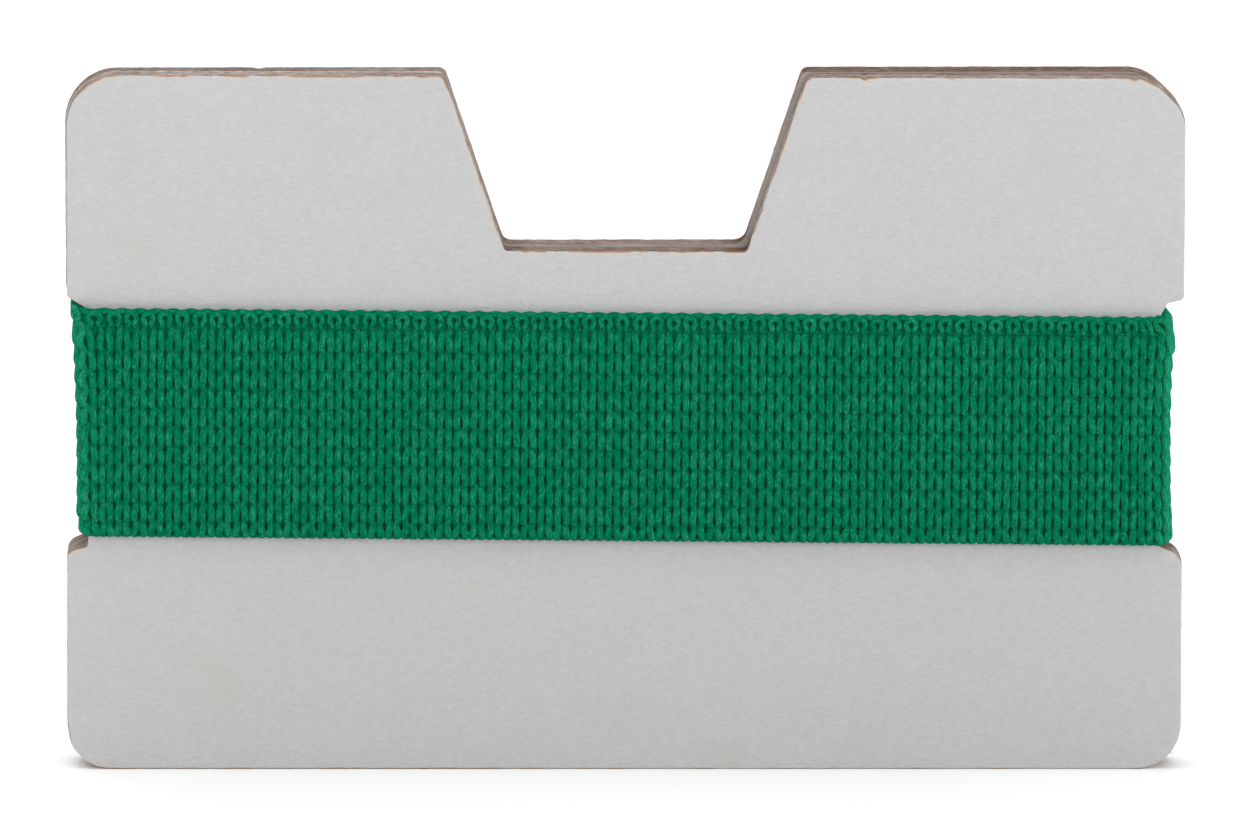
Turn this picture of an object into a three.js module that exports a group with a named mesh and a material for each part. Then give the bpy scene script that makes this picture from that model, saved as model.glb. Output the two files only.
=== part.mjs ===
import * as THREE from 'three';

// Card holder, in millimetres: two laminated leather-fibre plates with a knitted elastic loop
// round them. X runs along the width, Y from the front (-) to the back (+), and Z up from the
// lower edges that it stands on.

// Plate outline
const PLATE_WIDTH = 95;
const PLATE_HEIGHT = 60.6;
const CORNER_RADIUS = 3.7;

// Thumb cut-out in the upper edge: a trapezium, wider at its mouth
const CUTOUT_MOUTH = 30.2;
const CUTOUT_FLOOR = 20.4;
const CUTOUT_DEPTH = 15.2;
const CUTOUT_LIP_RADIUS = 1;
const CUTOUT_FLOOR_RADIUS = 0.8;

// Notch in each side that keeps the elastic loop in place, wider at its mouth
const NOTCH_MOUTH = 22.2;
const NOTCH_FLOOR = 20.4;
const NOTCH_DEPTH = 2.1;
const NOTCH_SHOULDER_RADIUS = 0.9;
const NOTCH_FLOOR_RADIUS = 0.3;

// Laminate, from the outside of each plate inwards
const FACING_THICKNESS = 0.25;
const BOARD_THICKNESS = 1.6;
const LINING_THICKNESS = 0.2;
const SKIN_SETBACK = 0.1; // the coated sheets stop this short of the board's cut edge

// How the two plates lie
const CARD_GAP = 0.3; // between the linings, with no cards in
const FRONT_TURN = THREE.MathUtils.degToRad(0.2); // the front plate's upper edge leans to +X
const FRONT_RISE = 0.16; // keeps the front plate's lower corner off the surface
const FRONT_SHIFT = 0.06; // the front plate sits this far to +X of the back plate

// Elastic loop
const BAND_WIDTH = 19.8;
const BAND_THICKNESS = 1.2;
const BAND_CORNER_RADIUS = 1.5; // outside, where the loop turns round the plates
const BAND_END_CLEARANCE = 0.12; // from each notch floor
const BAND_TURN = THREE.MathUtils.degToRad(0.3); // the loop's +X end sits lower

const ARC_STEPS = 4;

const PLATE_THICKNESS = FACING_THICKNESS + BOARD_THICKNESS + LINING_THICKNESS;
const STACK_HALF = PLATE_THICKNESS + CARD_GAP / 2;

const coatGrey = new THREE.MeshStandardMaterial({ color: 0xcacac9, roughness: 0.55, metalness: 0.1 });
const fibreBrown = new THREE.MeshStandardMaterial({ color: 0x988880, roughness: 0.95, metalness: 0 });
const liningGrey = new THREE.MeshStandardMaterial({ color: 0xb9b8b6, roughness: 0.7, metalness: 0.05 });
const knitGreen = new THREE.MeshStandardMaterial({ color: 0x047048, roughness: 0.9, metalness: 0 });

// A corner of an outline, listed anticlockwise, and the radius that rounds it.
function corner(x, y, radius = 0) {
  return { at: new THREE.Vector2(x, y), radius };
}

// The unit directions out of corner i towards the corners before and after it.
function armsOf(corners, i) {
  const { at } = corners[i];
  const before = corners.at(i - 1).at;
  const after = corners[(i + 1) % corners.length].at;
  return [before.clone().sub(at).normalize(), after.clone().sub(at).normalize()];
}

// The same outline with every edge moved inwards by one distance.
function insetOutline(corners, distance) {
  return corners.map(({ at, radius }, i) => {
    const [before, after] = armsOf(corners, i);
    const turn = after.cross(before);
    const shift = before.clone().add(after).multiplyScalar(distance / turn);
    return { at: at.clone().add(shift), radius: radius - Math.sign(turn) * distance };
  });
}

// A closed shape through the corners, each rounded by its own arc.
function roundedShape(corners) {
  const shape = new THREE.Shape();
  corners.forEach(({ at, radius }, i) => {
    const [before, after] = armsOf(corners, i);
    const halfAngle = before.angleTo(after) / 2;
    const reach = radius / Math.tan(halfAngle);
    const start = at.clone().addScaledVector(before, reach);
    const end = at.clone().addScaledVector(after, reach);
    const middle = before.clone().add(after).setLength(radius / Math.sin(halfAngle)).add(at);
    const from = start.sub(middle).angle();
    const to = end.sub(middle).angle();
    shape.absarc(middle.x, middle.y, radius, from, to, after.cross(before) < 0);
  });
  return shape;
}

function plateCorners() {
  const side = PLATE_WIDTH / 2;
  const top = PLATE_HEIGHT / 2;
  const floor = side - NOTCH_DEPTH;
  const rightHalf = [
    corner(side, -top, CORNER_RADIUS),
    corner(side, -NOTCH_MOUTH / 2, NOTCH_SHOULDER_RADIUS),
    corner(floor, -NOTCH_FLOOR / 2, NOTCH_FLOOR_RADIUS),
    corner(floor, NOTCH_FLOOR / 2, NOTCH_FLOOR_RADIUS),
    corner(side, NOTCH_MOUTH / 2, NOTCH_SHOULDER_RADIUS),
    corner(side, top, CORNER_RADIUS),
    corner(CUTOUT_MOUTH / 2, top, CUTOUT_LIP_RADIUS),
    corner(CUTOUT_FLOOR / 2, top - CUTOUT_DEPTH, CUTOUT_FLOOR_RADIUS),
  ];
  const leftHalf = rightHalf.map(({ at, radius }) => corner(-at.x, at.y, radius)).reverse();
  return [...rightHalf, ...leftHalf];
}

// One sheet of a plate, with its back at y = back, drawn about the plate's centre.
function makeSheet(name, material, setback, thickness, back) {
  const shape = roundedShape(insetOutline(plateCorners(), setback));
  const geometry = new THREE.ExtrudeGeometry(shape, {
    depth: thickness,
    curveSegments: ARC_STEPS,
    bevelEnabled: false,
  });
  geometry.rotateX(Math.PI / 2);
  const mesh = new THREE.Mesh(geometry, material);
  mesh.name = name;
  mesh.position.y = back;
  return mesh;
}

function makeFrontPlate() {
  const boardBack = -CARD_GAP / 2 - LINING_THICKNESS;
  const facingBack = boardBack - BOARD_THICKNESS;
  const plate = new THREE.Group();
  plate.add(
    makeSheet('front_facing', coatGrey, SKIN_SETBACK, FACING_THICKNESS, facingBack),
    makeSheet('front_board', fibreBrown, 0, BOARD_THICKNESS, boardBack),
    makeSheet('front_lining', liningGrey, SKIN_SETBACK, LINING_THICKNESS, -CARD_GAP / 2),
  );
  plate.position.set(FRONT_SHIFT, 0, PLATE_HEIGHT / 2 + FRONT_RISE);
  plate.rotation.y = FRONT_TURN;
  return plate;
}

function makeBackPlate() {
  const liningBack = CARD_GAP / 2 + LINING_THICKNESS;
  const boardBack = liningBack + BOARD_THICKNESS;
  const plate = new THREE.Group();
  plate.add(
    makeSheet('back_lining', liningGrey, SKIN_SETBACK, LINING_THICKNESS, liningBack),
    makeSheet('back_board', fibreBrown, 0, BOARD_THICKNESS, boardBack),
    makeSheet('back_facing', coatGrey, SKIN_SETBACK, FACING_THICKNESS, STACK_HALF),
  );
  plate.position.z = PLATE_HEIGHT / 2;
  return plate;
}

function rectangle(halfLength, halfDepth, radius) {
  return [
    corner(halfLength, -halfDepth, radius),
    corner(halfLength, halfDepth, radius),
    corner(-halfLength, halfDepth, radius),
    corner(-halfLength, -halfDepth, radius),
  ];
}

function makeElasticLoop() {
  const innerHalf = PLATE_WIDTH / 2 - NOTCH_DEPTH + BAND_END_CLEARANCE;
  const outerHalf = innerHalf + BAND_THICKNESS;
  const outside = rectangle(outerHalf, STACK_HALF + BAND_THICKNESS, BAND_CORNER_RADIUS);
  const inside = rectangle(innerHalf, STACK_HALF).map(({ at }) => at);
  const shape = roundedShape(outside);
  shape.holes.push(new THREE.Path(inside.reverse()));
  const geometry = new THREE.ExtrudeGeometry(shape, {
    depth: BAND_WIDTH,
    curveSegments: ARC_STEPS,
    bevelEnabled: false,
  });
  geometry.translate(0, 0, -BAND_WIDTH / 2);
  const mesh = new THREE.Mesh(geometry, knitGreen);
  mesh.name = 'elastic_loop';
  mesh.position.z = PLATE_HEIGHT / 2;
  mesh.rotation.y = BAND_TURN;
  return mesh;
}

const cardHolder = new THREE.Group();
cardHolder.add(makeFrontPlate(), makeBackPlate(), makeElasticLoop());

export default cardHolder;
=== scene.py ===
"""Looks of the card holder: two laminated leather-fibre plates in a knitted elastic loop.

Everything is in metres in the CAD's frame: X along the width, -Y out of the front face, +Z up.
"""

import math

import bmesh
import bpy
import numpy as np
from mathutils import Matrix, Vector
from mathutils.geometry import delaunay_2d_cdt


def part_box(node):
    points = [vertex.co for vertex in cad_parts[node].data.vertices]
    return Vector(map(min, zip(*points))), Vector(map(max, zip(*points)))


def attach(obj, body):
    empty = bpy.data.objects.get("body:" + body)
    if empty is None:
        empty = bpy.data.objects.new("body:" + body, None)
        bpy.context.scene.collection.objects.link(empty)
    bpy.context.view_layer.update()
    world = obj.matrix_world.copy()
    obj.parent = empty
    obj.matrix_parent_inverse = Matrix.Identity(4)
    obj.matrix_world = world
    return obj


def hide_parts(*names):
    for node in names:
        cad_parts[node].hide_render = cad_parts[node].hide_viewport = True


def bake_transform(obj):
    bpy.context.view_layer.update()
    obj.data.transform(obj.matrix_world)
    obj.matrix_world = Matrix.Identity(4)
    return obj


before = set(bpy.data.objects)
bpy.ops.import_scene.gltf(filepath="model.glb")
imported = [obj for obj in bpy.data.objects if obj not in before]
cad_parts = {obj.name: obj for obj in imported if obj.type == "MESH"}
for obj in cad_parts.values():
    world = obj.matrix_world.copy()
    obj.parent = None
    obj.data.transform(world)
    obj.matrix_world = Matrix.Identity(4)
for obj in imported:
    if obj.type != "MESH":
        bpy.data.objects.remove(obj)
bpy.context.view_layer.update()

MM = 0.001
SEED = 7

# How far the coated sheets' rims stand back from a plate's outline
SKIN_SETBACK = 0.04 * MM
# How the plates and the band happen to be turned
FRONT_TURN = math.radians(0.2)
BACK_TURN = math.radians(-0.06)
BAND_TURN = math.radians(0.5)

# Each plate was cut on its own, so the two differ by a few tenths of a millimetre from the
# CAD's outline and from each other. All in millimetres.
CUTOUT_LIP_RADIUS = 0.8
NOTCH_FLOOR_RADIUS = 0.3
# Corners: how far each is cut across, how far up, and the radius of the cut's two ends
ROUND = (2.17, 2.17, 3.7)
CORNERS = {
    "front": {"lower right": (2.22, 2.22, 4.0), "upper right": (3.05, 3.05, 3.4),
              "upper left": (2.45, 2.8, 4.3), "lower left": ROUND},
    "back": {"lower right": (2.22, 2.22, 4.0), "upper right": (3.35, 3.3, 4.0),
             "upper left": (2.55, 2.85, 4.4), "lower left": ROUND},
}
# Thumb cut-out: its depth, then half its mouth, half its floor and the inner radius
CUTOUTS = {
    "front": {"depth": 15.2, "right": (15.3, 10.25, 0.45), "left": (15.45, 10.25, 0.4)},
    "back": {"depth": 15.08, "right": (15.1, 10.08, 1.1), "left": (15.2, 10.2, 0.9)},
}
# Side notches, each half: half height of the mouth and of the floor, depth, shoulder radius
NOTCHES = {
    "front": {"lower right": (11.6, 10.6, 2.1, 1.6), "upper right": (10.87, 10.2, 2.1, 0.5),
              "upper left": (10.85, 9.7, 1.8, 0.6), "lower left": (11.45, 11.0, 1.8, 0.9)},
    "back": {"lower right": (12.05, 10.75, 2.1, 1.9), "upper right": (10.87, 10.2, 2.1, 0.5),
             "upper left": (11.1, 10.2, 2.1, 0.9), "lower left": (11.15, 10.2, 2.1, 1.2)},
}
# The notches' upper right corner was left thicker: how far below the notch's own corner the
# step starts, how far out it reaches and how far above the corner it ends
STEP_START, STEP_OUT, STEP_END = 0.9, 0.7, 0.38
# How much shorter than the board's box each plate was cut at the top, and how much longer
# at the right and left ends of its lower edge, so that it stands flat
TRIMS = {"front": 0.13, "back": 0.0}
DROPS = {"front": {"right": 0.0, "left": 0.3}, "back": {"right": 0.0, "left": 0.0}}
# Shade of the boards' cut edges: left and right of the top, the sides, then the thumb
# cut-out's floor and flanks
TONES = {"front": (0.3, -0.1, 0.0, -0.5, 0.5), "back": (-0.4, -1.35, -0.1, -0.05, 0.3)}
TONE_BLEND = 15  # half the width over which left turns into right, in millimetres
# How much darker the cut-out's inner corners are, right and left, and how far that reaches
INNER_CORNERS = (1.8, 0.9)
INNER_CORNER_REACH = 2.4 * MM
CUTOUT_LIP = 1.5 * MM  # the lip's own height, left out of the cut-out's shade
# Where the cut-out and the notches lie on the outline, in millimetres about its centre
CUTOUT_HALF_WIDTH, CUTOUT_LOWEST = 15.6, 14
NOTCH_INNERMOST, NOTCH_HALF_HEIGHT = 45, 12.5

# How finely the plates are drawn
OUTLINE_STEP = 0.17 * MM
FACE_GRID = 0.8 * MM
HIDDEN_GRID = 4.0 * MM
EDGE_RINGS = 13

# How much of the linings' burn reaches onto their faces
LINING_SPILL = 0.5
FACE_WAVINESS = 0.02 * MM
FACE_FADE = 3 * MM  # the waves fade out this far from the rim
# Waves of the faces: seed, share, and cells along and across
FACE_WAVES = ((1, 1.0, 9, 6), (2, 0.4, 31, 24))
# How the board's cut edge is bitten: depth, roughness and the rim's setback in millimetres,
# how wide the rim is as a share of the edge, and how burnt it is
EDGE_DEPTH, EDGE_ROUGHNESS, EDGE_RIM, RIM_WIDTH, RIM_BURN = 0.028, 0.03, 0.02, 0.12, 0.45
# Noise on the edges: seed, share, and cells along the outline (and across the edge)
BOARD_GRAIN = ((1, 0.5, 500, 7), (2, 0.5, 1400, 12))
SKIN_GRAIN = ((1, 0.5, 500), (2, 0.5, 1500))
BURN_DASHES = ((11, 1.0, 210), (12, 0.6, 640))
# The skins' softly rounded rim, from the glued face to the open one: how far in, in
# millimetres, how far up as a share of the thickness, and how burnt
RIM_PROFILE = ((0, 0, 1), (0, 0.62, 1), (0.02, 0.86, 0.9), (0.06, 0.97, 0.5))
RIM_TOP, SPILL_REACH = 0.12, 0.7

# Knitted loop: wales run up the band, courses run round it. Heights are from its middle.
WALES = 135
STEPS_PER_LOOP = 24
YARN_SIDES = 8
WALE_SHIFT = -0.12 * MM
FIRST_COURSE = -9.35 * MM
COURSE_PITCH = 1.663 * MM
PLAIN_COURSES = 11
RING_COURSE = 9.05 * MM
BAND_TOP = 9.93 * MM
BAND_BOTTOM = -9.61 * MM
BAND_CORNER_RADIUS = 0.9 * MM
BAND_MIDDLE_DEPTH = 0.6 * MM
SINKER_DEPTH = 0.32 * MM
LEG_RISE = 0.58 * MM
# The thin band behind the yarn: its two faces' distance from the plates, how far it stays
# back from the band's edges, and its levels up the band
GROUND_BACK, GROUND_FRONT = 0.03 * MM, 0.5 * MM
GROUND_MARGIN = 0.3 * MM
GROUND_LEVELS = 25
PATH_STEP = 0.05 * MM

# The loop's ends lean and bulge: height up the band and the shift along X, in millimetres
LEFT_END = ((-9.9, 0.45), (-8, 0.22), (-5.5, 0.24), (0, 0.16), (6, -0.1), (8.5, -0.4), (10, -0.55))
RIGHT_END = ((-9.9, 0), (-6, -0.22), (0, -0.32), (5, -0.25), (7, -0.02), (8.4, 0.1), (10, -0.95))
# How much the band's upper edge rides up where it bends round the plates' ends
LEFT_RISE = 0.65 * MM
RIGHT_RISE = 0.1 * MM
# Where along X the shift and the rise start and over what width they grow, and the same for
# the rise up the band, in millimetres
SHIFT_ZONE = (43, 3)
RISE_ZONE = (45.5, 1.6)
RISE_HEIGHTS = (5, 4)


# ---------------------------------------------------------------- outlines and meshes


def smooth(f):
    f = np.clip(f, 0, 1)
    return f * f * (3 - 2 * f)


def rounded_outline(corners, step):
    """Points, outward normals and distances along a closed outline, given anticlockwise as
    (x, y, radius) corners."""
    count = len(corners)
    arcs = []
    for i, (x, y, radius) in enumerate(corners):
        at = np.array([x, y])
        before = np.array(corners[i - 1][:2]) - at
        after = np.array(corners[(i + 1) % count][:2]) - at
        before /= np.linalg.norm(before)
        after /= np.linalg.norm(after)
        half = math.acos(np.clip(before @ after, -1, 1)) / 2
        reach = radius / math.tan(half)
        bisector = (before + after) / np.linalg.norm(before + after)
        middle = at + bisector * radius / math.sin(half)
        convex = after[0] * before[1] - after[1] * before[0] > 0
        arcs.append((at + before * reach, at + after * reach, middle, radius, convex))
    points, normals = [], []
    for i, (start, end, middle, radius, convex) in enumerate(arcs):
        a0 = math.atan2(*(start - middle)[::-1])
        a1 = math.atan2(*(end - middle)[::-1])
        sweep = (a1 - a0) % (2 * math.pi) if convex else -((a0 - a1) % (2 * math.pi))
        pieces = max(4, math.ceil(abs(sweep) * radius / step))
        for a in np.linspace(a0, a0 + sweep, pieces + 1):
            out = np.array([math.cos(a), math.sin(a)])
            points.append(middle + out * radius)
            normals.append(out if convex else -out)
        run = arcs[(i + 1) % count][0] - end
        length = np.linalg.norm(run)
        normal = np.array([run[1], -run[0]]) / length
        pieces = max(1, math.ceil(length / step))
        for f in np.arange(1, pieces) / pieces:
            points.append(end + run * f)
            normals.append(normal)
    points, normals = np.array(points), np.array(normals)
    steps = np.linalg.norm(np.roll(points, -1, axis=0) - points, axis=1)
    along = np.concatenate([[0], np.cumsum(steps)])
    return points, normals, along


def ripple(seed, along, across, cells_along, cells_across):
    """Seeded smooth noise from -1 to 1; along runs from 0 to 1 and closes on itself."""
    grid = np.random.default_rng(seed).uniform(-1, 1, (cells_along, cells_across + 2))
    a, b = along * cells_along, across * cells_across
    ia, ib = np.floor(a).astype(int), np.floor(b).astype(int)
    fa, fb = smooth(a - ia), smooth(b - ib)
    low, high = ia % cells_along, (ia + 1) % cells_along
    first = grid[low, ib] * (1 - fa) + grid[high, ib] * fa
    second = grid[low, ib + 1] * (1 - fa) + grid[high, ib + 1] * fa
    return first * (1 - fb) + second * fb


def inside(points, outline):
    """Which of the points lie inside a closed outline."""
    result = np.zeros(len(points), bool)
    following = np.roll(outline, -1, axis=0)
    for (x0, y0), (x1, y1) in zip(outline, following):
        if y0 != y1:
            crosses = (y0 > points[:, 1]) != (y1 > points[:, 1])
            at = x0 + (points[:, 1] - y0) * (x1 - x0) / (y1 - y0)
            result ^= crosses & (points[:, 0] < at)
    return result


def filled(outline, inner, grid):
    """Triangles that fill an outline, with points about grid apart inside it. The first
    points of the result are the outline's own, in order."""
    lo, hi = outline.min(axis=0), outline.max(axis=0)
    rows = np.arange(lo[1], hi[1], grid * math.sqrt(3) / 2)
    fill = np.array(
        [
            (x, y)
            for i, y in enumerate(rows)
            for x in np.arange(lo[0] + (i % 2) * grid / 2, hi[0], grid)
        ]
    )
    together = np.concatenate([outline, fill[inside(fill, inner)]])
    given = [Vector(p) for p in together / MM]
    found = delaunay_2d_cdt(given, [], [list(range(len(outline)))], 1, 1e-6)
    origin = [ids[0] if ids else -1 for ids in found[3]]
    triangles = [[origin[v] for v in face] for face in found[2]]
    return together, [t for t in triangles if min(t) >= 0]


def new_object(name, vertices, faces, uvs=None, values=None):
    """A smooth-shaded mesh object; uvs is one pair per face corner, and values holds named
    numbers per vertex."""
    mesh = bpy.data.meshes.new(name)
    mesh.from_pydata([tuple(v) for v in vertices], [], [tuple(f) for f in faces])
    if uvs is not None:
        layer = mesh.uv_layers.new(name="UVMap")
        layer.data.foreach_set("uv", np.asarray(uvs, np.float32).ravel())
    for key, numbers in (values or {}).items():
        attribute = mesh.attributes.new(key, "FLOAT", "POINT")
        attribute.data.foreach_set("value", np.asarray(numbers, np.float32))
    work = bmesh.new()
    work.from_mesh(mesh)
    bmesh.ops.recalc_face_normals(work, faces=work.faces)
    work.to_mesh(mesh)
    work.free()
    mesh.polygons.foreach_set("use_smooth", [True] * len(mesh.polygons))
    obj = bpy.data.objects.new(name, mesh)
    bpy.context.scene.collection.objects.link(obj)
    return obj


# ---------------------------------------------------------------- materials


class Shader:
    """A material with a Principled shader and short ways to add nodes to it."""

    def __init__(self, name, roughness, specular=0.3):
        self.material = bpy.data.materials.new(name)
        self.material.use_nodes = True
        self.nodes = self.material.node_tree.nodes
        self.links = self.material.node_tree.links
        self.bsdf = self.nodes["Principled BSDF"]
        self.set("Roughness", roughness)
        self.set("Specular IOR Level", specular)

    def set(self, socket, value):
        self.bsdf.inputs[socket].default_value = value

    def add(self, kind, settings=None, **inputs):
        node = self.nodes.new(kind)
        for key, value in (settings or {}).items():
            setattr(node, key, value)
        for key, value in inputs.items():
            self.feed(node.inputs[key.replace("_", " ")], value)
        return node

    def feed(self, socket, value):
        if isinstance(value, bpy.types.NodeSocket):
            self.links.new(value, socket)
        else:
            socket.default_value = value

    def math(self, operation, a, b=0.0, clamp=False):
        node = self.nodes.new("ShaderNodeMath")
        node.operation = operation
        node.use_clamp = clamp
        self.feed(node.inputs[0], a)
        self.feed(node.inputs[1], b)
        return node.outputs[0]

    def total(self, *parts):
        """The sum of sockets, each given with its weight."""
        result = None
        for socket, weight in parts:
            part = self.math("MULTIPLY", socket, weight)
            result = part if result is None else self.math("ADD", result, part)
        return result

    def place(self, scale, source="Object"):
        """Coordinates in millimetres times scale."""
        coordinates = self.add("ShaderNodeTexCoord").outputs[source]
        scaled = tuple(s / MM for s in scale) if source == "Object" else scale
        return self.add("ShaderNodeMapping", Vector=coordinates, Scale=scaled).outputs[0]

    def noise(self, vector, scale, detail=2.0, roughness=0.5, distortion=0.0):
        shape = {"Detail": detail, "Roughness": roughness, "Distortion": distortion}
        node = self.add("ShaderNodeTexNoise", Vector=vector, Scale=scale, **shape)
        return node.outputs["Fac"]

    def value(self, name):
        return self.add("ShaderNodeAttribute", {"attribute_name": name}).outputs["Fac"]

    def ramp(self, factor, stops):
        node = self.add("ShaderNodeValToRGB", Fac=factor)
        elements = node.color_ramp.elements
        while len(elements) < len(stops):
            elements.new(0.5)
        for element, (position, colour) in zip(elements, stops):
            element.position = position
            element.color = (*colour, 1)
        return node.outputs["Color"]

    def mix(self, factor, a, b):
        node = self.add("ShaderNodeMix", {"data_type": "RGBA"})
        self.feed(node.inputs[0], factor)
        for socket, colour in ((node.inputs[6], a), (node.inputs[7], b)):
            self.feed(socket, colour if isinstance(colour, bpy.types.NodeSocket) else (*colour, 1))
        return node.outputs[2]

    def bump(self, height, distance, strength=1.0):
        node = self.add("ShaderNodeBump", Height=height, Distance=distance, Strength=strength)
        return node.outputs[0]

    def finish(self, colour, normal=None):
        self.links.new(colour, self.bsdf.inputs["Base Color"])
        if normal is not None:
            self.links.new(normal, self.bsdf.inputs["Normal"])
        return self.material


COAT_LOW = (0.430, 0.429, 0.430)
COAT_HIGH = (0.480, 0.479, 0.479)
COAT_STAIN = (0.45, 0.432, 0.405)
SCORCHED = (0.52, 0.39, 0.30)
BURNT = (0.33, 0.16, 0.08)
CHARRED = (0.07, 0.04, 0.028)
FIBRE_TONES = [
    (0.34, (0.070, 0.048, 0.038)),
    (0.44, (0.175, 0.130, 0.110)),
    (0.56, (0.310, 0.260, 0.236)),
    (0.68, (0.560, 0.515, 0.490)),
]
LINING_LOW = (0.42, 0.41, 0.40)
LINING_HIGH = (0.50, 0.49, 0.48)
LINING_BURNT = (0.12, 0.05, 0.025)


def coat_material():
    """Silver-grey coated leather: fine wavy grain, faint stains and a laser-burnt rim."""
    s = Shader("coated_leather", roughness=0.55, specular=0.2)
    waves = s.noise(s.place((0.95, 1, 2.9)), 1.7, detail=2.0, roughness=0.6, distortion=0.7)
    pebble = s.noise(s.place((1, 1, 1)), 3.0, detail=2.0)
    drift = s.noise(s.place((0.1, 0.1, 0.25)), 1.0, detail=2.0)
    relief = s.total((waves, 0.7), (pebble, 0.3))
    level = s.total((relief, 0.92), (drift, 0.08))
    grey = s.ramp(level, [(0.36, COAT_LOW), (0.64, COAT_HIGH)])
    blotches = s.noise(s.place((1, 1, 1)), 0.16, detail=2.0)
    stain = s.math("MULTIPLY", s.math("SUBTRACT", blotches, 0.62, clamp=True), 4.0, clamp=True)
    stained = s.mix(stain, grey, COAT_STAIN)
    scorch = s.ramp(s.value("burn"), [(0.15, SCORCHED), (0.55, BURNT), (1.0, CHARRED)])
    shown = s.math("MULTIPLY", s.value("burn"), 4.0, clamp=True)
    colour = s.mix(shown, stained, scorch)
    return s.finish(colour, s.bump(relief, 0.07 * MM, 0.9))


def fibre_material():
    """Cut edge of leather-fibre board: brown-grey layers streaked along the edge."""
    s = Shader("leather_fibre_board", roughness=0.95, specular=0.1)
    streaks = s.noise(s.place((0.9, 7.0, 1), "UV"), 1.0, detail=4.0, roughness=0.7)
    layers = s.noise(s.place((0.25, 4.0, 1), "UV"), 1.0, detail=2.0)
    specks = s.noise(s.place((5.0, 12.0, 1), "UV"), 1.0, detail=2.0)
    drift = s.noise(s.place((0.08, 0.5, 1), "UV"), 1.0, detail=1.0)
    level = s.total((streaks, 0.8), (layers, 0.25), (specks, 0.35), (drift, 0.2))
    level = s.total((level, 1.0), (s.value("tone"), 0.085))
    fibre = s.ramp(s.math("SUBTRACT", level, 0.3), FIBRE_TONES)
    colour = s.mix(s.value("burn"), fibre, BURNT)
    return s.finish(colour, s.bump(level, 0.1 * MM, 0.9))


def lining_material():
    """Coated inner sheet: plain grey, with a burnt brown edge."""
    s = Shader("lining", roughness=0.65, specular=0.2)
    pebble = s.noise(s.place((1, 1, 1)), 2.2, detail=3.0)
    face = s.ramp(pebble, [(0.3, LINING_LOW), (0.7, LINING_HIGH)])
    colour = s.mix(s.value("burn"), face, LINING_BURNT)
    return s.finish(colour, s.bump(pebble, 0.04 * MM, 0.5))


YARN_DARK = (0.0003, 0.098, 0.046)
YARN_MAIN = (0.0007, 0.150, 0.069)
# Palest yarn: partly paler fibres, partly painted highlight
YARN_PALE_AND_HIGHLIGHT = (0.022, 0.300, 0.150)
YARN_TWIST = 0.4  # radians per millimetre
GROUND_LOW = (0.0008, 0.115, 0.062)
GROUND_HIGH = (0.0015, 0.20, 0.11)


def yarn_material():
    """Matt green yarn: many fine filaments with a slight twist; its palest filament streaks are
    partly painted highlights, and its ends are painted paler as painted sheen.
    """
    s = Shader("knit_yarn", roughness=0.95, specular=0.0)
    position = s.add("ShaderNodeTexCoord").outputs["UV"]
    split = s.add("ShaderNodeSeparateXYZ", Vector=position).outputs
    angle = s.total((split["Y"], 2 * math.pi), (split["X"], YARN_TWIST))
    round_yarn = s.add(
        "ShaderNodeCombineXYZ",
        X=s.math("COSINE", angle),
        Y=s.math("SINE", angle),
        Z=s.math("MULTIPLY", split["X"], 0.8),
    )
    filaments_and_highlights = s.noise(round_yarn.outputs[0], 3.2, detail=3.0, roughness=0.7)
    specks = s.noise(s.place((1, 1, 1)), 5.0, detail=2.0)
    cloud = s.noise(s.place((1, 1, 1)), 1.3, detail=2.0)
    level = s.total((filaments_and_highlights, 0.6), (specks, 0.25), (cloud, 0.15), (s.value("tint_and_sheen"), 0.012))
    # The palest stop stands partly for paler fibres and partly for painted highlights
    colour = s.ramp(level, [(0.38, YARN_DARK), (0.50, YARN_MAIN), (0.66, YARN_PALE_AND_HIGHLIGHT)])
    return s.finish(colour, s.bump(s.total((filaments_and_highlights, 0.6), (specks, 0.4)), 0.05 * MM, 0.7))


def ground_material():
    """Back of the knit, seen only as the dark green between its stitches."""
    s = Shader("knit_ground", roughness=0.95, specular=0.03)
    fuzz = s.noise(s.place((1, 1, 1)), 4.0, detail=3.0)
    colour = s.ramp(fuzz, [(0.3, GROUND_LOW), (0.7, GROUND_HIGH)])
    return s.finish(colour, s.bump(fuzz, 0.08 * MM, 0.8))


# ---------------------------------------------------------------- plates


def steepness(out, start):
    """From 0 on a plate's level edges to 1 on its upright ones."""
    return smooth(np.abs(out[:, 0]) * 3 - start)


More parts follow.
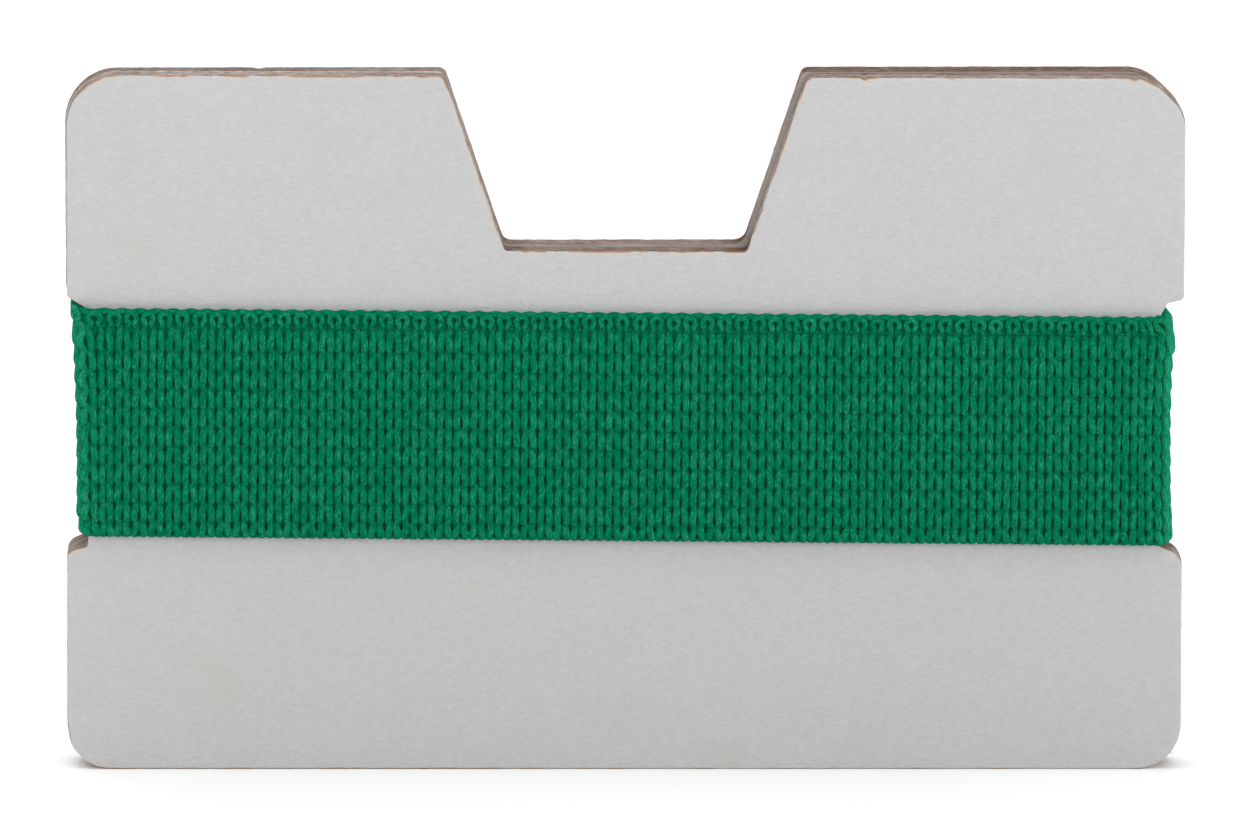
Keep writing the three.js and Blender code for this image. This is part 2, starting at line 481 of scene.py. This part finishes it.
class Outline:
    """Outline of a plate about its centre, from the back board's box and the cuts."""

    def __init__(self, plate):
        lo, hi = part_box("back_board")
        side, bottom = (hi[0] - lo[0]) / 2 / MM, (hi[2] - lo[2]) / 2 / MM
        top = bottom - TRIMS[plate]
        halves = {"right": [], "left": []}
        for hand, points in halves.items():
            low, high = NOTCHES[plate]["lower " + hand], NOTCHES[plate]["upper " + hand]
            across, up, radius = CORNERS[plate]["lower " + hand]
            base = -bottom - DROPS[plate][hand]
            points += [(side - across, base, radius), (side, base + up, radius)]
            points += [(side, -low[0], low[3]), (side - low[2], -low[1], NOTCH_FLOOR_RADIUS)]
            floor = side - high[2]
            if hand == "left":
                points += [(floor, high[1], NOTCH_FLOOR_RADIUS)]
            else:
                points += [
                    (floor, high[1] - STEP_START, NOTCH_FLOOR_RADIUS),
                    (floor + STEP_OUT, high[1] + STEP_END, NOTCH_FLOOR_RADIUS),
                ]
            across, up, radius = CORNERS[plate]["upper " + hand]
            points += [(side, high[0], high[3]), (side, top - up, radius)]
            points += [(side - across, top, radius)]
            mouth, foot, inner = CUTOUTS[plate][hand]
            points += [(mouth, top, CUTOUT_LIP_RADIUS)]
            points += [(foot, top - CUTOUTS[plate]["depth"], inner)]
        right = halves["right"]
        left = [(-x, z, radius) for x, z, radius in reversed(halves["left"])]
        corners = [tuple(v * MM for v in corner) for corner in right + left]
        self.points, self.out, self.along = rounded_outline(corners, OUTLINE_STEP)
        self.count = len(self.points)
        self.share = self.along[:-1] / self.along[-1]
        inner = [corners[len(right) - 1], corners[len(right)]]
        self.tone = self.shade(plate, inner, right[-2][0] * MM, top * MM)

    def shade(self, plate, inner, mouth, top):
        """Shade of the cut edge along the outline, darkest in the cut-out's inner corners."""
        left, right, sides, floor, flanks = TONES[plate]
        x, z = self.points.T
        tone = left + (right - left) * smooth((x / MM + TONE_BLEND) / (2 * TONE_BLEND))
        upright = steepness(self.out, 1.5)
        tone = tone + (sides - tone) * upright
        cutout = (np.abs(x) < mouth) & (z > 0) & (z < top - CUTOUT_LIP)
        tone = np.where(cutout, floor + (flanks - floor) * upright, tone)
        for corner, darker in zip(inner, INNER_CORNERS):
            away = np.linalg.norm(self.points - np.array(corner[:2]), axis=1)
            tone = tone - darker * smooth(1 - away / INNER_CORNER_REACH)
        return tone

    def inset(self, distance):
        return self.points - self.out * np.broadcast_to(distance, self.count)[:, None]


OUTLINES = {plate: Outline(plate) for plate in ("front", "back")}

# Worn spots on a plate's rim, in millimetres: place about its centre, reach and depth
CHIPS = {
    "front": [
        (-47.3, -27.4, 1.6, 0.18),
        (-46.2, -29.3, 0.8, 0.14),
        (20.2, 30.3, 0.5, 0.22),
        (43.0, 29.9, 0.6, 0.10),
        (-15.2, 29.6, 0.5, 0.10),
        (-11.2, 17.6, 1.0, 0.07),
        (-12.3, 21.0, 0.7, 0.05),
        (11.7, 18.6, 0.6, 0.13),
        (12.2, 20.2, 0.5, 0.07),
    ],
    "back": [(46.9, -28.0, 1.4, 0.1), (-31.0, 30.3, 0.6, 0.14), (12.0, -30.3, 0.8, 0.12)],
}


def worn(plate):
    """How far the worn spots set the rim back, at each point of the outline."""
    outline = OUTLINES[plate]
    depth = np.zeros(outline.count)
    for x, z, reach, most in CHIPS[plate]:
        away = np.linalg.norm(outline.points - np.array([x, z]) * MM, axis=1)
        depth = np.maximum(depth, most * MM * smooth(1 - away / (reach * MM)))
    return depth


def build_sheet(name, plate, turn, rings, grids, waviness=0.0, tone=0.0):
    """A sheet of a plate. rings lists (inset, y, burn) from one face to the other; each is a
    number or one per outline point. The last ring's face may be wavy."""
    outline = OUTLINES[plate]
    lo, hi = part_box(plate + "_board")
    cx, cz = (lo[0] + hi[0]) / 2, (lo[2] + hi[2]) / 2
    count = outline.count
    flat = [outline.inset(inset) for inset, _, _ in rings]
    depth = [np.broadcast_to(y, count) for _, y, _ in rings]
    burn = [np.broadcast_to(burnt, count) for _, _, burnt in rings]
    tones = [np.broadcast_to(tone, count)] * len(rings)
    faces, uvs = [], []
    length = outline.along / MM
    for j in range(len(rings) - 1):
        y0, y1 = np.mean(rings[j][1]) / MM, np.mean(rings[j + 1][1]) / MM
        for i in range(count):
            k = (i + 1) % count
            faces.append((j * count + i, j * count + k, (j + 1) * count + k, (j + 1) * count + i))
            uvs += [(length[i], y0), (length[i + 1], y0), (length[i + 1], y1), (length[i], y1)]
    for j, grid in ((0, grids[0]), (len(rings) - 1, grids[1])):
        base = sum(map(len, flat))
        inner = outline.inset(np.broadcast_to(rings[j][0], count) + grid * 0.3)
        points, triangles = filled(flat[j], inner, grid)
        extra = points[count:]
        level = np.full(len(extra), np.mean(rings[j][1]))
        if j and waviness:
            low, high = outline.points.min(axis=0), outline.points.max(axis=0)
            u = ((extra - low) / (high - low)).T
            near = np.minimum(high - extra, extra - low).min(axis=1)
            waves = sum(
                share * ripple([SEED, number], u[0] * 0.98, u[1], *cells)
                for number, share, *cells in FACE_WAVES
            )
            level += waves * smooth(near / FACE_FADE) * waviness
        flat.append(extra)
        depth.append(level)
        burn.append(np.zeros(len(extra)))
        tones.append(np.zeros(len(extra)))
        for t in triangles:
            faces.append([j * count + v if v < count else base + v - count for v in t])
            uvs += [tuple(points[v] / MM) for v in t]
    flat, depth = np.concatenate(flat), np.concatenate(depth)
    c, s = math.cos(turn), math.sin(turn)
    x = cx + flat[:, 0] * c + flat[:, 1] * s
    z = cz - flat[:, 0] * s + flat[:, 1] * c
    values = {"burn": np.concatenate(burn), "tone": np.concatenate(tones)}
    return new_object(name, np.stack([x, depth, z], axis=1), faces, uvs, values)


def build_board(plate, turn, material):
    """Leather-fibre core: a ragged, layered cut edge."""
    outline = OUTLINES[plate]
    lo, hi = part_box(plate + "_board")
    seed = SEED + len(plate)
    bite = worn(plate) * 0.5
    rings = []
    for v in np.linspace(0, 1, EDGE_RINGS):
        across = np.full(outline.count, v)
        rough = sum(
            share * ripple([seed, number], outline.share, across, *cells)
            for number, share, *cells in BOARD_GRAIN
        )
        rim = 1 - smooth(min(v, 1 - v) / RIM_WIDTH)
        inset = (EDGE_DEPTH - EDGE_ROUGHNESS * rough + EDGE_RIM * rim) * MM + bite
        rings.append((inset, lo[1] + (hi[1] - lo[1]) * v, RIM_BURN * rim))
    grids = (HIDDEN_GRID, HIDDEN_GRID)
    board = build_sheet(plate + "_board_edge", plate, turn, rings, grids, tone=outline.tone)
    board.data.materials.append(material)
    return board


def build_skin(node, plate, turn, rim, spill, waviness, material):
    """Coated sheet with a softly rounded, burnt rim. Its open face comes last, and spill is
    how much of the burn reaches onto that face."""
    outline = OUTLINES[plate]
    lo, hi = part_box(node)
    y0, y1 = (lo[1], hi[1]) if (plate == "back") == node.endswith("facing") else (hi[1], lo[1])
    seed = SEED + len(node)
    across = np.zeros(outline.count)
    rag = sum(
        share * ripple([seed, number], outline.share, across, cells, 1)
        for number, share, cells in SKIN_GRAIN
    )
    base = SKIN_SETBACK * (1 + 0.8 * rag) + worn(plate) * node.endswith("facing")
    outward = math.copysign(1, y1 - y0)
    profile = (*RIM_PROFILE, (RIM_TOP, 1, spill))
    rings = [(base + out * MM, y0 + (y1 - y0) * up, rim * share) for out, up, share in profile]
    if spill:
        rings.append((base + SPILL_REACH * MM, y1, rim * spill * 0.5))
    grids = (HIDDEN_GRID, FACE_GRID)
    skin = build_sheet(node + "_sheet", plate, turn, rings, grids, waviness * outward)
    skin.data.materials.append(material)
    return skin


def facing_rim(plate):
    """How burnt the facing's rim is: dashes, fewer towards the right and down the sides."""
    outline = OUTLINES[plate]
    across = np.zeros(outline.count)
    dashes = sum(
        share * ripple([SEED, number], outline.share, across, cells, 1)
        for number, share, cells in BURN_DASHES
    )
    if plate == "back":
        return 0.3 + 0.15 * dashes
    x, z = outline.points.T / MM
    sides = steepness(outline.out, 2)
    left = 1 - smooth((x + 2) / 12)
    cutout = (np.abs(x) < CUTOUT_HALF_WIDTH) & (z > CUTOUT_LOWEST)
    level = np.where(cutout, 0.7, -0.15 + 0.75 * left) + 0.8 * dashes
    return smooth(level) * 0.55 * np.where(cutout, 1, 1 - sides) + 0.04 * sides


def lining_rim(plate):
    """The inner sheets' rims are pale at the left and burnt brown at the right and in the
    cut-out and notches."""
    outline = OUTLINES[plate]
    across = np.zeros(outline.count)
    drift = ripple([SEED, 13], outline.share, across, 90, 1)
    x, z = outline.points.T / MM
    cutout = (np.abs(x) < CUTOUT_HALF_WIDTH) & (z > CUTOUT_LOWEST)
    notches = (np.abs(x) > NOTCH_INNERMOST) & (np.abs(z) < NOTCH_HALF_HEIGHT)
    sides = steepness(outline.out, 2)
    dark = smooth(0.15 * drift + smooth((x + 18) / 40))
    return np.where(cutout | notches, 0.75 + 0.15 * drift, dark * (1 - 0.8 * sides))


def build_plate(plate, turn, coat, fibre, lining):
    made = {
        "board": build_board(plate, turn, fibre),
        "facing": build_skin(
            plate + "_facing", plate, turn, facing_rim(plate), 0, FACE_WAVINESS, coat
        ),
        "lining": build_skin(
            plate + "_lining", plate, turn, lining_rim(plate), LINING_SPILL, 0, lining
        ),
    }
    for sheet, piece in made.items():
        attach(piece, plate + "_plate")
        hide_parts(f"{plate}_{sheet}")


# ---------------------------------------------------------------- knitted loop


def band_path():
    """The knit's middle line round the plates, seen from above."""
    lo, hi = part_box("elastic_loop")
    front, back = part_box("front_facing"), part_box("back_facing")
    half_length = (hi[0] - lo[0]) / 2 - BAND_MIDDLE_DEPTH
    half_depth = (back[1][1] - front[0][1]) / 2 + BAND_MIDDLE_DEPTH
    r = BAND_CORNER_RADIUS
    corners = [
        (half_length, -half_depth, r),
        (half_length, half_depth, r),
        (-half_length, half_depth, r),
        (-half_length, -half_depth, r),
    ]
    return rounded_outline(corners, PATH_STEP)


PATH, PATH_OUT, PATH_ALONG = band_path()
BAND_LENGTH = PATH_ALONG[-1]
WALE_PITCH = BAND_LENGTH / WALES
BAND_LO, BAND_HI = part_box("elastic_loop")
BAND_MIDDLE = (BAND_LO[2] + BAND_HI[2]) / 2


def grown(distance, zone):
    """From 0 where the zone starts to 1 where it ends."""
    start, width = zone
    return smooth((distance / MM - start) / width)


def on_band(q, depth, up):
    """Points at a distance q round the loop, a depth out from the plates and a height up the
    band from its middle, and the outward directions there."""
    q = np.mod(q, BAND_LENGTH)
    path, out = np.concatenate([PATH, PATH[:1]]), np.concatenate([PATH_OUT, PATH_OUT[:1]])
    x, y = (np.interp(q, PATH_ALONG, path[:, i]) for i in (0, 1))
    nx, ny = (np.interp(q, PATH_ALONG, out[:, i]) for i in (0, 1))
    x, y = x + nx * (depth - BAND_MIDDLE_DEPTH), y + ny * (depth - BAND_MIDDLE_DEPTH)
    lift = grown(up, RISE_HEIGHTS)
    for side, ends, rise in ((-1, LEFT_END, LEFT_RISE), (1, RIGHT_END, RIGHT_RISE)):
        heights, shifts = np.array(ends).T * MM
        shift = np.interp(up, heights, shifts) * grown(side * x, SHIFT_ZONE)
        up = up + rise * lift * grown(side * x, RISE_ZONE)
        x = x + shift
    c, s = math.cos(BAND_TURN), math.sin(BAND_TURN)
    points = np.stack([x * c + up * s, y, BAND_MIDDLE - x * s + up * c], axis=1)
    return points, np.stack([nx, ny, np.zeros_like(nx)], axis=1)


def tube(name, points, outs, radii, tints_and_sheen, material):
    """A closed round yarn along the points, with outs pointing away from the plates."""
    ahead, behind = np.roll(points, -1, axis=0), np.roll(points, 1, axis=0)
    forward = ahead - behind
    forward /= np.linalg.norm(forward, axis=1)[:, None]
    across = np.cross(forward, outs)
    across /= np.linalg.norm(across, axis=1)[:, None]
    out = np.cross(across, forward)
    angles = 2 * math.pi * np.arange(YARN_SIDES) / YARN_SIDES
    ring = (
        across[:, None] * np.cos(angles)[None, :, None]
        + out[:, None] * np.sin(angles)[None, :, None]
    )
    vertices = (points[:, None] + ring * radii[:, None, None]).reshape(-1, 3)
    count, n = len(points), YARN_SIDES
    i, j = (a.ravel() for a in np.meshgrid(np.arange(count), np.arange(n), indexing="ij"))
    i2, j2 = (i + 1) % count, (j + 1) % n
    faces = np.stack([i * n + j, i2 * n + j, i2 * n + j2, i * n + j2], axis=1)
    steps = np.linalg.norm(ahead - points, axis=1)
    u = np.concatenate([[0], np.cumsum(steps)]) / MM
    corner_u = np.stack([u[i], u[i + 1], u[i + 1], u[i]], axis=1)
    corner_v = np.stack([j, j, j + 1, j + 1], axis=1) / n
    uvs = np.stack([corner_u, corner_v], axis=2).reshape(-1, 2)
    # The tint values carry each leg's own tint and, at the band's ends, painted sheen
    piece = new_object(name, vertices, faces, uvs, {"tint_and_sheen": np.repeat(tints_and_sheen, n)})
    piece.data.materials.append(material)
    return piece


PAINTED_END_SHEEN = 6.0  # painted sheen: the yarn is painted paler where the band bends round the plates' ends
PAINTED_END_SHEEN_ZONE = (45.4, 0.8)
EDGE_TINT = -1.5  # and darker along its edges
# How unevenly the loops lean and reach up, in millimetres, and how unevenly they swell
LEAN_JITTER, HEIGHT_JITTER, SWELL_JITTER = 0.03, 0.035, 0.03

# Stitch shapes, in millimetres: half height below and above the course's middle, sideways
# swing of the legs below and above it, how far the legs stand apart beyond an even spacing,
# yarn radius on the legs and at the turns, and how proud the upper turn stands (0 to 1)
PLAIN = (1.12, 1.12, 0.200, 0.245, 0, 0.364, 0.26, 0)
FIRST = (0.50, 1.12, 0.280, 0.245, 0, 0.364, 0.25, 0)
RING = (0.70, 0.54, 0.345, 0.09, 0.07, 0.265, 0.25, 0.9)


def knit_course(number, height, shape, material):
    """One course: a closed yarn with a loop in each wale. Its legs stand proud, and its heads
    and sinkers lie behind the legs of the courses above and below."""
    low, high, swing_low, swing_high, spread, leg, turn, proud = shape
    rng = np.random.default_rng([SEED, number])
    i = np.arange(WALES * STEPS_PER_LOOP)
    wale = i // STEPS_PER_LOOP
    t = 2 * math.pi * (i % STEPS_PER_LOOP) / STEPS_PER_LOOP
    rising, level = np.abs(np.sin(t)), np.cos(t)
    reach = (1 - level) / 2
    shift = rng.normal(0, LEAN_JITTER, WALES)[wale] * reach
    lift = rng.normal(0, HEIGHT_JITTER, WALES)[wale] * reach
    swing = np.where(level > 0, swing_low, swing_high)
    q = WALE_SHIFT + WALE_PITCH * (wale + t / (2 * math.pi))
    q = q + (swing * np.sin(2 * t) - spread * np.sin(t) + shift) * MM
    up = height + (lift - np.where(level > 0, low, high) * level) * MM
    # fullest on the legs, a little nearer their feet, where it is about 1
    bulge = rising**1.5 * (1 + 0.6 * level) / 1.09
    bulge = np.where(level < 0, np.maximum(bulge, proud), bulge)
    depth = SINKER_DEPTH + LEG_RISE * bulge
    points, outs = on_band(q, depth, up)
    thickness = rng.normal(1, SWELL_JITTER, WALES)[wale]
    radii = (turn + (leg - turn) * rising**0.8 * thickness) * MM
    tints_and_sheen = rng.uniform(-1, 1, (WALES, 2))[wale, (t > math.pi).astype(int)] * rising**2
    # Painted sheen: paler yarn where the band bends round the plates' ends
    tints_and_sheen = tints_and_sheen + PAINTED_END_SHEEN * grown(np.abs(points[:, 0]), PAINTED_END_SHEEN_ZONE)
    return tube(f"knit_course_{number + 1:02d}", points, outs, radii, tints_and_sheen, material)


def edge_yarn(name, up, depth, sway, dip, radius, swell, material):
    """The yarn along one edge of the band, which rises and swells between the wales."""
    count = WALES * STEPS_PER_LOOP // 2
    q = BAND_LENGTH * np.arange(count) / count + WALE_SHIFT
    beat = np.cos(2 * math.pi * (q - WALE_SHIFT) / WALE_PITCH)
    points, outs = on_band(q, depth + dip * beat, up + sway * beat)
    return tube(name, points, outs, radius + swell * beat, np.full(count, EDGE_TINT), material)


def knit_ground(material):
    """The back of the fabric: a thin closed band against the plates."""
    count = WALES * 4
    q = BAND_LENGTH * np.arange(count) / count
    levels = np.linspace(BAND_BOTTOM + GROUND_MARGIN, BAND_TOP - GROUND_MARGIN, GROUND_LEVELS)
    section = [(GROUND_BACK, z) for z in levels] + [(GROUND_FRONT, z) for z in levels[::-1]]
    rings = [on_band(q, np.full(count, d), np.full(count, z))[0] for d, z in section]
    faces = []
    for j in range(len(section)):
        k = (j + 1) % len(section)
        for i in range(count):
            m = (i + 1) % count
            faces.append((j * count + i, j * count + m, k * count + m, k * count + i))
    ground = new_object("knit_ground", np.concatenate(rings), faces)
    ground.data.materials.append(material)
    return ground


# The yarns along the band's edges: height, depth, and between the wales how far they rise,
# how far they stand out, their radius and how much it swells
EDGE_YARNS = {
    "knit_cast_off": (
        BAND_TOP - 0.3 * MM, 0.5 * MM, 0.04 * MM, 0.04 * MM, 0.29 * MM, 0.03 * MM
    ),
    "knit_cast_on": (
        BAND_BOTTOM + 0.24 * MM, 0.55 * MM, 0.03 * MM, 0.06 * MM, 0.23 * MM, 0.02 * MM
    ),
}


def build_loop():
    yarn = yarn_material()
    ground = knit_ground(ground_material())
    knit = [
        knit_course(n, FIRST_COURSE + COURSE_PITCH * n, PLAIN if n else FIRST, yarn)
        for n in range(PLAIN_COURSES)
    ]
    knit.append(knit_course(PLAIN_COURSES, RING_COURSE, RING, yarn))
    knit += [edge_yarn(name, *shape, yarn) for name, shape in EDGE_YARNS.items()]
    for piece in [ground, *knit]:
        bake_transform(piece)
    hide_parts("elastic_loop")


# ---------------------------------------------------------------- stage


VIEW_ELEVATION = math.radians(14)
VIEW_DISTANCE = 2.4
VIEW_DROP = 0.02 * MM
FRAME_WIDTH = 106.4 * MM

# Lights: place, target, size in metres, power in watts and spread in degrees
HOLDER = (0, 0, 0.03)
LIGHTS = {
    "key": ((0.05, -0.22, 0.18), (0, 0, 0.1), (0.5, 0.2), 0.193, 55),
    "left": ((-0.40, -0.06, 0.16), HOLDER, (0.3, 0.15), 0.45, 180),
    "right": ((0.40, -0.06, 0.16), HOLDER, (0.3, 0.15), 0.64, 180),
    "back": ((-0.1, 0.35, 0.30), HOLDER, (0.5, 0.2), 0.9, 180),
    "top": ((0, -0.08, 0.8), (0, -0.08, 0), (1.0, 1.0), 4.95, 180),
}
STUDIO_LIGHT = 0.28
FLOOR_HALF = 6.0
FLOOR_CORNERS = ((-1, -1), (1, -1), (1, 1), (-1, 1))
PAPER_LOW = (0.94, 0.94, 0.94)
PAPER_HIGH = (0.96, 0.96, 0.96)


def aim(obj, target):
    obj.rotation_mode = "QUATERNION"
    obj.rotation_quaternion = (Vector(target) - obj.location).to_track_quat("-Z", "Y")


def make_camera():
    data = bpy.data.cameras.new("camera")
    data.lens = data.sensor_width * VIEW_DISTANCE / FRAME_WIDTH
    data.clip_start, data.clip_end = 0.1, 20
    camera = bpy.data.objects.new("camera", data)
    bpy.context.scene.collection.objects.link(camera)
    lo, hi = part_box("back_board")
    middle = sum(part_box("front_board")[i][0] for i in (0, 1)) / 2
    target = Vector((middle, 0, (lo[2] + hi[2]) / 2 - VIEW_DROP))
    back = Vector((0, -math.cos(VIEW_ELEVATION), math.sin(VIEW_ELEVATION)))
    camera.location = target + back * VIEW_DISTANCE
    aim(camera, target)
    bpy.context.scene.camera = camera


def area_light(name, place, target, size, power, spread):
    data = bpy.data.lights.new(name, "AREA")
    data.shape = "RECTANGLE"
    data.size, data.size_y = size
    data.energy = power
    data.spread = math.radians(spread)
    light = bpy.data.objects.new(name, data)
    bpy.context.scene.collection.objects.link(light)
    light.location = place
    light.visible_camera = False
    aim(light, target)


def make_stage():
    scene = bpy.context.scene
    scene.view_settings.view_transform = "Standard"
    world = bpy.data.worlds.new("studio")
    scene.world = world
    world.use_nodes = True
    background = world.node_tree.nodes["Background"]
    background.inputs["Color"].default_value = (1, 1, 1, 1)
    background.inputs["Strength"].default_value = STUDIO_LIGHT
    for name, settings in LIGHTS.items():
        area_light(name, *settings)
    corners = [(x * FLOOR_HALF, y * FLOOR_HALF, 0) for x, y in FLOOR_CORNERS]
    floor = new_object("floor", corners, [(0, 1, 2, 3)])
    paper = Shader("paper", roughness=0.9, specular=0.1)
    fibre = paper.noise(paper.place((0.02, 0.02, 0.02)), 1.0)
    tone = paper.ramp(fibre, [(0.3, PAPER_LOW), (0.7, PAPER_HIGH)])
    floor.data.materials.append(paper.finish(tone))


make_camera()
make_stage()
coat, fibre, lining = coat_material(), fibre_material(), lining_material()
build_plate("front", FRONT_TURN, coat, fibre, lining)
build_plate("back", BACK_TURN, coat, fibre, lining)
build_loop()
